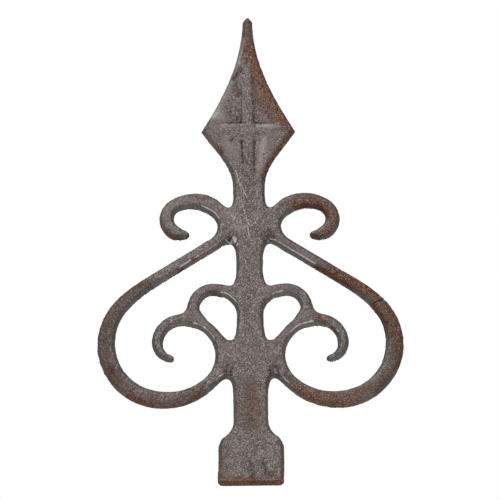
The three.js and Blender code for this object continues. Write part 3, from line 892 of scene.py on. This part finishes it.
@dataclass
class Crack:
    """The old crack across the right arm, where the iron above it stands a little proud."""

    outer_px: Pixel = (384.0, 298.0)
    inner_px: Pixel = (371.5, 305.0)
    depth: float = 1.5 * MM
    width: float = 0.26 * MM
    lead: float = 3 * MM
    fade: float = 2 * MM
    wander: float = 0.25 * MM
    fine_wander: float = 0.12 * MM
    lip: float = 0.5 * MM
    dark_reach: float = 0.5 * MM

    def measure(self, points: Array) -> tuple[Array, Array, float]:
        """Measures places against the crack's plane.

        Args:
            points: The places.

        Returns:
            How far along the crack each lies, how far to its side, and the crack's length.
        """
        outer = PHOTO.on_face(self.outer_px)
        inner = PHOTO.on_face(self.inner_px)
        length = float(np.linalg.norm(inner - outer))
        along = (inner - outer) / length
        offset = points[:, (0, 2)] - outer
        return offset @ along, offset @ np.array((-along[1], along[0])), length

    def near(self, points: Array, reach: float) -> Array:
        """Says which points are within reach of the crack."""
        run, side, length = self.measure(points)
        return (run > -self.lead) & (run < length + self.fade) & (np.abs(side) < reach)

    def dark_line(self, points: Array) -> Array:
        """Says how dark the line painted along the crack is at each point, 0 to 1."""
        run, side, length = self.measure(points)
        return np.exp(-((side / self.dark_reach) ** 2)) * (run > -self.lead) * (run < length)

    def open(self, points: Array) -> Array:
        """Opens the crack: a hair-wide groove across the front, shallower on the back."""
        run, side, length = self.measure(points)
        wander = self.wander * np.sin(run / (1.7 * MM)) + self.fine_wander * np.sin(run / (0.6 * MM))
        inside = np.clip((length + self.lip - run) / self.fade, 0, 1) * (run > -self.lead)
        gap = np.exp(-(((side - wander) / self.width) ** 2)) * inside
        face = np.clip(0.65 - points[:, 1] / (16 * MM), 0.3, 1)
        result = points.copy()
        result[:, 1] -= np.sign(points[:, 1]) * gap * self.depth * face
        inward = (PHOTO.on_face(self.inner_px) - PHOTO.on_face(self.outer_px)) / length
        edge = gap * np.clip(1 - run / self.fade, 0, 1) * self.lip
        result[:, 0] += inward[0] * edge
        result[:, 2] += inward[1] * edge
        return result


@dataclass
class CastingSkin:
    """The finial's cast surface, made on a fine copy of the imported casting."""

    voxel: float = 0.94 * MM
    crest_angle_deg: float = 17.0
    corner_angle_deg: float = 40.0
    crest_reach: float = 0.5 * MM
    wave: float = 0.15 * MM
    ripple: float = 0.09 * MM
    seam: float = 0.16 * MM
    crest_step: float = 0.25 * MM
    rim_step: float = 0.2 * MM
    crack_reaches: tuple[float, float] = (2.2 * MM, 1.3 * MM)
    softening: tuple[float, float] = (0.5, 0.45)
    tip_hold: float = 3 * MM
    wave_size: float = 14 * MM
    ripple_size: float = 4.5 * MM
    fine_size: float = 1.9 * MM
    seam_half: float = 0.55 * MM
    crumb_sizes: tuple[float, float] = (1.7 * MM, 0.9 * MM)
    crumb_rise: float = 0.75 * MM
    flake_rise: float = 0.14 * MM
    pit_count: int = 520
    pit_reach: tuple[float, float] = (0.7, 1.5)
    pit_steepness: tuple[float, float] = (0.1, 0.34)
    # the bend where the pale of rubbed-bare edges and their painted highlight begins, and how much more
    # makes it whole
    edge_from: float = 0.25
    edge_range: float = 0.6
    # the bend where the painted shade and grime of the hollows begin, and how much more makes them whole
    hollow_from: float = 0.10
    hollow_range: float = 0.5
    underside_rust: float = 1.8
    # how much painted shade darkens the foot's downward faces
    underside_painted_shade: float = 0.2
    relief: HeadRelief = field(default_factory=HeadRelief)
    crack: Crack = field(default_factory=Crack)
    seed: int = 7

    def build(self, casting: Piece) -> Piece:
        """Makes the visible casting.

        Args:
            casting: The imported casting, which gives the form.

        Returns:
            The dressed copy, which stands for it.
        """
        piece = self.fine_copy(casting)
        self.settle(piece, casting)
        self.refine(piece)
        points, _ = self.arrays(piece)
        inset = self.inset_from_outline(points, casting)
        points = self.cut_relief(points, inset)
        points = self.soften(piece, points)
        self.write(piece, points)
        flat, normals = self.arrays(piece)
        points = flat + normals * self.skin_height(flat, normals, inset)[:, None]
        points = self.sink_webs(points)
        points = self.crack.open(points)
        points = self.lean_over(points)
        self.write(piece, points)
        self.dress(piece, flat, inset)
        return piece

    def fine_copy(self, casting: Piece) -> Piece:
        """Remeshes a copy of the casting into small even faces."""
        piece = placed("finial_skin", casting.data.copy())
        remesh = piece.modifiers.new("fine", "REMESH")
        remesh.mode = "VOXEL"
        remesh.voxel_size = self.voxel
        bpy.context.view_layer.update()
        shown = piece.evaluated_get(bpy.context.evaluated_depsgraph_get())
        mesh = bpy.data.meshes.new_from_object(shown)
        piece.modifiers.clear()
        piece.data = mesh
        mesh.name = "finial_skin"
        return piece

    def settle(self, piece: Piece, casting: Piece) -> None:
        """Draws the fine mesh onto the casting's faces, its sharp edges and its tip."""
        form = bmesh.new()
        form.from_mesh(casting.data)
        bmesh.ops.remove_doubles(form, verts=form.verts, dist=1e-6)
        tree = BVHTree.FromBMesh(form)
        samples = [sample for line in form.edges for sample in self.crest_samples(line)]
        edges = tree_of(samples)
        tip = max((corner.co for corner in form.verts), key=lambda place: place.z).copy()
        form.free()
        vertices = piece.data.vertices
        for vertex in vertices:
            near, _, _, _ = tree.find_nearest(vertex.co)
            sharp, _, away = edges.find(near)
            vertex.co = sharp if away < self.crest_reach else near
        min(vertices, key=lambda vertex: (vertex.co - tip).length).co = tip
        piece.data.update()

    def crest_samples(self, line: bmesh.types.BMEdge) -> list[Vector]:
        """Divides an edge of the casting finely, if it is a sharp one.

        Args:
            line: The edge.

        Returns:
            Places along it, or none if it only shapes a curve.
        """
        if len(line.link_faces) != 2:
            return []
        a, b = (corner.co for corner in line.verts)
        runs_through = abs(a.y - b.y) > 0.5 * (a - b).length
        least = self.corner_angle_deg if runs_through else self.crest_angle_deg
        if line.calc_face_angle() < math.radians(least):
            return []
        return divided(a, b, self.crest_step)

    def refine(self, piece: Piece) -> None:
        """Splits the faces near the crack, the walls of the cross and the marks, where the form is finer."""
        shape = bmesh.new()
        shape.from_mesh(piece.data)
        wide, narrow = self.crack_reaches
        for near in (
            lambda middles: self.crack.near(middles, wide),
            lambda middles: self.crack.near(middles, narrow),
            self.relief.near_wall,
            self.near_marks,
        ):
            middles = np.array([(line.verts[0].co + line.verts[1].co) / 2 for line in shape.edges])
            lines = [line for line, chosen in zip(shape.edges, near(middles)) if chosen]
            bmesh.ops.subdivide_edges(shape, edges=lines, cuts=1, use_grid_fill=True)
        bmesh.ops.triangulate(shape, faces=[face for face in shape.faces if len(face.verts) > 4])
        shape.to_mesh(piece.data)
        shape.free()
        for polygon in piece.data.polygons:
            polygon.use_smooth = True

    def near_marks(self, points: Array) -> Array:
        """Says which points are close to a web, to the pale flakes, scratches and painted rim highlight, or
        to a larger pit, which are finer than the mesh.
        """
        marked = (strongest(FLAKES_AND_RIM_HIGHLIGHT, points) > 0.2) | (strongest(PITS, points) > 0.1)
        webbed = strongest(WEBS, points) > 0.3
        return (marked | webbed) & (np.abs(points[:, 1]) > 4 * MM)

    def inset_from_outline(self, points: Array, casting: Piece) -> Array:
        """Measures how far each point lies inside the outline at the parting line, seen from the front."""
        mesh = casting.data
        rim = []
        for line in mesh.edges:
            a, b = (mesh.vertices[index].co for index in line.vertices)
            if abs(a.y) < 1e-5 and abs(b.y) < 1e-5:
                rim += divided(a, b, self.rim_step)
        tree = tree_of([Vector((place.x, 0, place.z)) for place in rim])
        return np.array([tree.find((point[0], 0, point[2]))[2] for point in points])

    def cut_relief(self, points: Array, inset: Array) -> Array:
        """Cuts the facets of the head at the fine mesh's own points."""
        result = points.copy()
        face = np.abs(points[:, 1]).max()
        chosen = self.relief.covers(points) & (inset > self.relief.rim_inset)
        sunk = self.relief.sink(points[chosen], inset[chosen])
        result[chosen, 1] = np.sign(points[chosen, 1]) * (face - sunk)
        return result

    def soften(self, piece: Piece, points: Array) -> Array:
        """Rounds the edges a little, as sand and rust leave them, but keeps the tip's full height."""
        a, b, count = self.edge_ends(piece)
        hold = np.clip((points[:, 2].max() - points[:, 2]) / self.tip_hold, 0.1, 1)[:, None]
        for share in self.softening:
            total = np.zeros_like(points)
            np.add.at(total, a, points[b])
            np.add.at(total, b, points[a])
            points = points + share * hold * (total / count[:, None] - points)
        return points

    def edge_ends(self, piece: Piece) -> tuple[Array, Array, Array]:
        """Reads the two ends of each edge, and counts the edges that meet at each point."""
        mesh = piece.data
        ends = np.empty(len(mesh.edges) * 2, dtype=int)
        mesh.edges.foreach_get("vertices", ends)
        a, b = ends.reshape(-1, 2).T
        return a, b, np.maximum(np.bincount(ends, minlength=len(mesh.vertices)), 1)

    def arrays(self, piece: Piece) -> tuple[Array, Array]:
        """Reads the mesh's points and normals."""
        count = len(piece.data.vertices)
        points = np.empty(count * 3)
        normals = np.empty(count * 3)
        piece.data.vertices.foreach_get("co", points)
        piece.data.vertices.foreach_get("normal", normals)
        return points.reshape(-1, 3), normals.reshape(-1, 3)

    def write(self, piece: Piece, points: Array) -> None:
        """Writes points back to the mesh."""
        piece.data.vertices.foreach_set("co", points.ravel())
        piece.data.update()

    def noise_at(self, points: Array, size: float, shift: float) -> Array:
        """Samples smooth noise, about -1 to 1.

        Args:
            points: The places.
            size: The size of its features in metres.
            shift: A shift that makes each noise its own.

        Returns:
            One number for each place.
        """
        offset = Vector((shift, shift * 0.37, shift * 0.71))
        return np.array([noise.noise(Vector(point) / size + offset) for point in points])

    def skin_height(self, points: Array, normals: Array, inset: Array) -> Array:
        """Works out how far the skin stands out from the true form: waves, seam, pits, flakes and lumps.

        Args:
            points: The places on the true form.
            normals: Which way it faces at each.
            inset: How far inside the outline each lies.

        Returns:
            The height at each place, in metres.
        """
        height = self.wave * self.noise_at(points, self.wave_size, 3.0)
        height += self.ripple * self.noise_at(points, self.ripple_size, 11.0)
        fine = self.noise_at(points, self.fine_size, 23.0)
        height += 0.6 * self.ripple * fine
        seam = np.exp(-((points[:, 1] / self.seam_half) ** 2)) * (inset < 1 * MM) * (points[:, 2] > 1 * MM)
        jagged = JAGGED_SEAM.share(points)
        height += seam * self.seam * (0.35 + 0.8 * fine + 1.6 * jagged * fine)
        height -= self.pit_depth(points)
        height -= strongest(PITS, points) * MM
        height += self.flake_rise * np.minimum(strongest(FLAKES_AND_RIM_HIGHLIGHT, points), 1.0)
        sideways = np.clip(1.3 - 1.3 * np.abs(normals[:, 1]), 0, 1)
        for lump in LUMPS:
            height += lump.rise * MM * lump.falloff(points) * sideways
        return height

    def pit_depth(self, points: Array) -> Array:
        """Scatters small blow-holes over the whole surface."""
        chooser = np.random.default_rng(self.seed)
        tree = tree_of(points)
        depth = np.zeros(len(points))
        for centre in chooser.choice(len(points), self.pit_count, replace=False):
            reach = chooser.uniform(*self.pit_reach) * MM
            deepest = chooser.uniform(*self.pit_steepness) * reach
            for _, index, away in tree.find_range(points[centre], reach):
                share = 1 - (away / reach) ** 2
                depth[index] = max(depth[index], deepest * share * share)
        return depth

    def sink_webs(self, points: Array) -> Array:
        """Draws the faces in towards the parting line in the crotches, and roughens them."""
        rough = self.roughness(points)
        result = points.copy()
        for web in WEBS:
            share = web.share(points)
            share = share * share * (3 - 2 * share)
            result[:, 1] *= 1 - share * web.sink
            result[:, 1] += rough * share * self.crumb_rise * np.sign(points[:, 1])
            result[:, 2] += rough * share * 0.2 * MM
        return result

    def roughness(self, points: Array) -> Array:
        """Samples the rough surface of the webs: above zero on its crumbs, below it between them."""
        coarse, fine = self.crumb_sizes
        return self.noise_at(points, coarse, 31.0) + 0.6 * self.noise_at(points, fine, 37.0)

    def lean_over(self, points: Array) -> Array:
        """Shifts stretches of the casting a little off the pattern, as the real one lies."""
        result = points.copy()
        for lean in LEANS:
            share = lean.falloff(points) * MM
            result[:, 0] += lean.across * share
            result[:, 2] += lean.up * share
        return result

    def dress(self, piece: Piece, flat: Array, inset: Array) -> None:
        """Writes the numbers that the material reads.

        Args:
            piece: The dressed casting.
            flat: Its points before the skin was raised.
            inset: How far inside the outline each point lies.
        """
        _, normals = self.arrays(piece)
        bend = self.bend(piece)
        underside = np.clip(-normals[:, 2] - 0.7, 0, 0.2) * 5 * (flat[:, 2] < 2 * MM)
        rust = np.maximum(strongest(RUST, flat), underside * self.underside_rust)
        # painted shade with grime between the crumbs of the webs, in the pits and in the hollows of the
        # surface
        webs = strongest(WEBS, flat) * np.clip(0.65 - 1.8 * self.roughness(flat), 0, 1)
        webs = np.maximum(webs, 2 * strongest(PITS, flat))
        hollow_shade_and_dirt = np.maximum(webs, np.clip((-bend - self.hollow_from) / self.hollow_range, 0, 1))
        numbers = {
            "rust": rust,
            # painted light and shade, with more painted shade on the foot's downward faces
            "painted_light_and_tone": np.clip(added(LIGHT_SHADE_AND_TONE, flat) - self.underside_painted_shade * underside, -1, 1),
            "smooth": strongest(SMOOTH, flat),
            "worn_and_highlight": strongest(WORN_AND_HIGHLIGHT, flat),
            "flake_and_highlight": strongest(FLAKES_AND_RIM_HIGHLIGHT, flat) * (1 - underside),
            "inset": inset / MM,
            # convex edges rubbed bare, with painted highlight on the rounded edges
            "edge": np.clip((bend - self.edge_from) / self.edge_range, 0, 1) * (flat[:, 2] > 0.6 * MM),
            "hollow_shade_and_dirt": np.clip(np.maximum(hollow_shade_and_dirt, self.crack.dark_line(flat)), 0, 1),
        }
        for name, values in numbers.items():
            layer = piece.data.attributes.new(name, "FLOAT", "POINT")
            layer.data.foreach_set("value", values.astype(np.float32))

    def bend(self, piece: Piece) -> Array:
        """Measures the surface's curvature per millimetre: above zero on edges, below it in hollows."""
        points, normals = self.arrays(piece)
        a, b, count = self.edge_ends(piece)
        apart = points[b] - points[a]
        square = (apart * apart).sum(1) + (0.05 * MM) ** 2
        turn = ((normals[b] - normals[a]) * apart).sum(1) / square * MM
        total = np.bincount(a, turn, len(points)) + np.bincount(b, turn, len(points))
        mean = total / count
        spread = np.bincount(a, mean[b], len(points)) + np.bincount(b, mean[a], len(points))
        return 0.5 * mean + 0.5 * spread / count


@dataclass
class Studio:
    """A pale floor well below the held finial, soft lights and a plain white surround."""

    finish: StudioFinish = field(default_factory=StudioFinish)
    floor_height: float = -1.35
    floor_size: float = 40.0
    surround: float = 1.0
    fill: float = 0.33
    aim_height: float = 0.14

    def build(self) -> None:
        """Makes the floor, the world and the lights."""
        self.floor()
        self.world()
        self.light("key", Vector((-1.1, -2.8, 1.7)), 1.8, 90.0)
        self.light("fill", Vector((1.9, -2.6, 0.3)), 2.2, 34.0)
        self.light("above", Vector((-0.3, 1.7, 2.9)), 1.6, 40.0)
        self.light("behind", Vector((0.0, 3.2, 0.2)), 0.7, 46.0)

    def floor(self) -> None:
        """Lays the floor."""
        half = self.floor_size / 2
        mesh = bpy.data.meshes.new("floor")
        corners = [(-half, -half), (half, -half), (half, half), (-half, half)]
        mesh.from_pydata([(x, y, self.floor_height) for x, y in corners], [], [(0, 1, 2, 3)])
        floor = placed("floor", mesh)
        material = bpy.data.materials.new("pale_floor")
        NodeSheet(material).surface(
            {
                "Base Color": (*self.finish.colour, 1.0),
                "Roughness": self.finish.roughness,
                "Emission Color": WHITE,
                "Emission Strength": self.finish.glow,
            }
        )
        mesh.materials.append(material)

    def world(self) -> None:
        """Lights the surround softly, and shows it white behind the object."""
        world = bpy.data.worlds.new("surround")
        bpy.context.scene.world = world
        sheet = NodeSheet(world)
        lit, shown = (
            sheet.add("ShaderNodeBackground", {"Color": WHITE, "Strength": strength}).outputs[0]
            for strength in (self.fill, self.surround)
        )
        to_camera = sheet.add("ShaderNodeLightPath", {}).outputs["Is Camera Ray"]
        mix = sheet.add("ShaderNodeMixShader", {"Fac": to_camera, 1: lit, 2: shown})
        sheet.add("ShaderNodeOutputWorld", {"Surface": mix.outputs[0]})

    def light(self, name: str, place: Vector, size: float, power: float) -> None:
        """Hangs a soft square light that faces the finial's middle.

        Args:
            name: The light's name.
            place: Where it hangs.
            size: Its side in metres.
            power: Its power in watts.
        """
        lamp = bpy.data.lights.new(name, "AREA")
        lamp.shape = "SQUARE"
        lamp.size = size
        lamp.energy = power
        holder = placed(name, lamp)
        holder.location = place
        aim = Vector((0.0, 0.0, self.aim_height)) - place
        holder.rotation_euler = aim.to_track_quat("-Z", "Y").to_euler()


@dataclass
class PhotoCamera:
    """The photograph's view: from in front and a little below, through a very long lens."""

    lens_mm: float = 600.0
    sensor_mm: float = 36.0
    aim_px: Pixel = (249.8, 250.2)
    distance_share: float = 1.002

    def build(self) -> None:
        """Makes the camera and makes it the scene's own."""
        data = bpy.data.cameras.new("photograph")
        data.sensor_width = self.sensor_mm
        data.lens = self.lens_mm
        data.clip_end = 100.0
        camera = placed("photograph", data)
        width = PHOTO.size_px * PHOTO.mm_per_px * MM
        distance = width * self.lens_mm / self.sensor_mm * self.distance_share
        elevation = math.radians(PHOTO.elevation_deg)
        back = Vector((0.0, -math.cos(elevation), math.sin(elevation)))
        camera.location = PHOTO.place(self.aim_px) + back * distance
        camera.rotation_mode = "QUATERNION"
        turn = (-back).to_track_quat("-Z", "Y")
        camera.rotation_quaternion = turn @ type(turn)((0.0, 0.0, 1.0), -math.atan(PHOTO.lean))
        bpy.context.scene.camera = camera


def main() -> None:
    """Builds the scene in order and reports each piece."""
    logging.basicConfig(level=logging.INFO, format="%(name)s: %(message)s")
    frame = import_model()

    PhotoCamera().build()
    log.info("camera placed")

    bpy.context.scene.view_settings.view_transform = "Standard"
    Studio().build()
    log.info("studio lit")

    casting = frame["nodes"][NODE]
    skin = CastingSkin().build(casting)
    skin.data.materials.clear()
    skin.data.materials.append(IronSkin().build())
    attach(skin, BODY)
    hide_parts(NODE)
    triangles = sum(len(polygon.vertices) - 2 for polygon in skin.data.polygons)
    log.info("casting dressed: %d triangles", triangles)


if __name__ == "__main__":
    main()
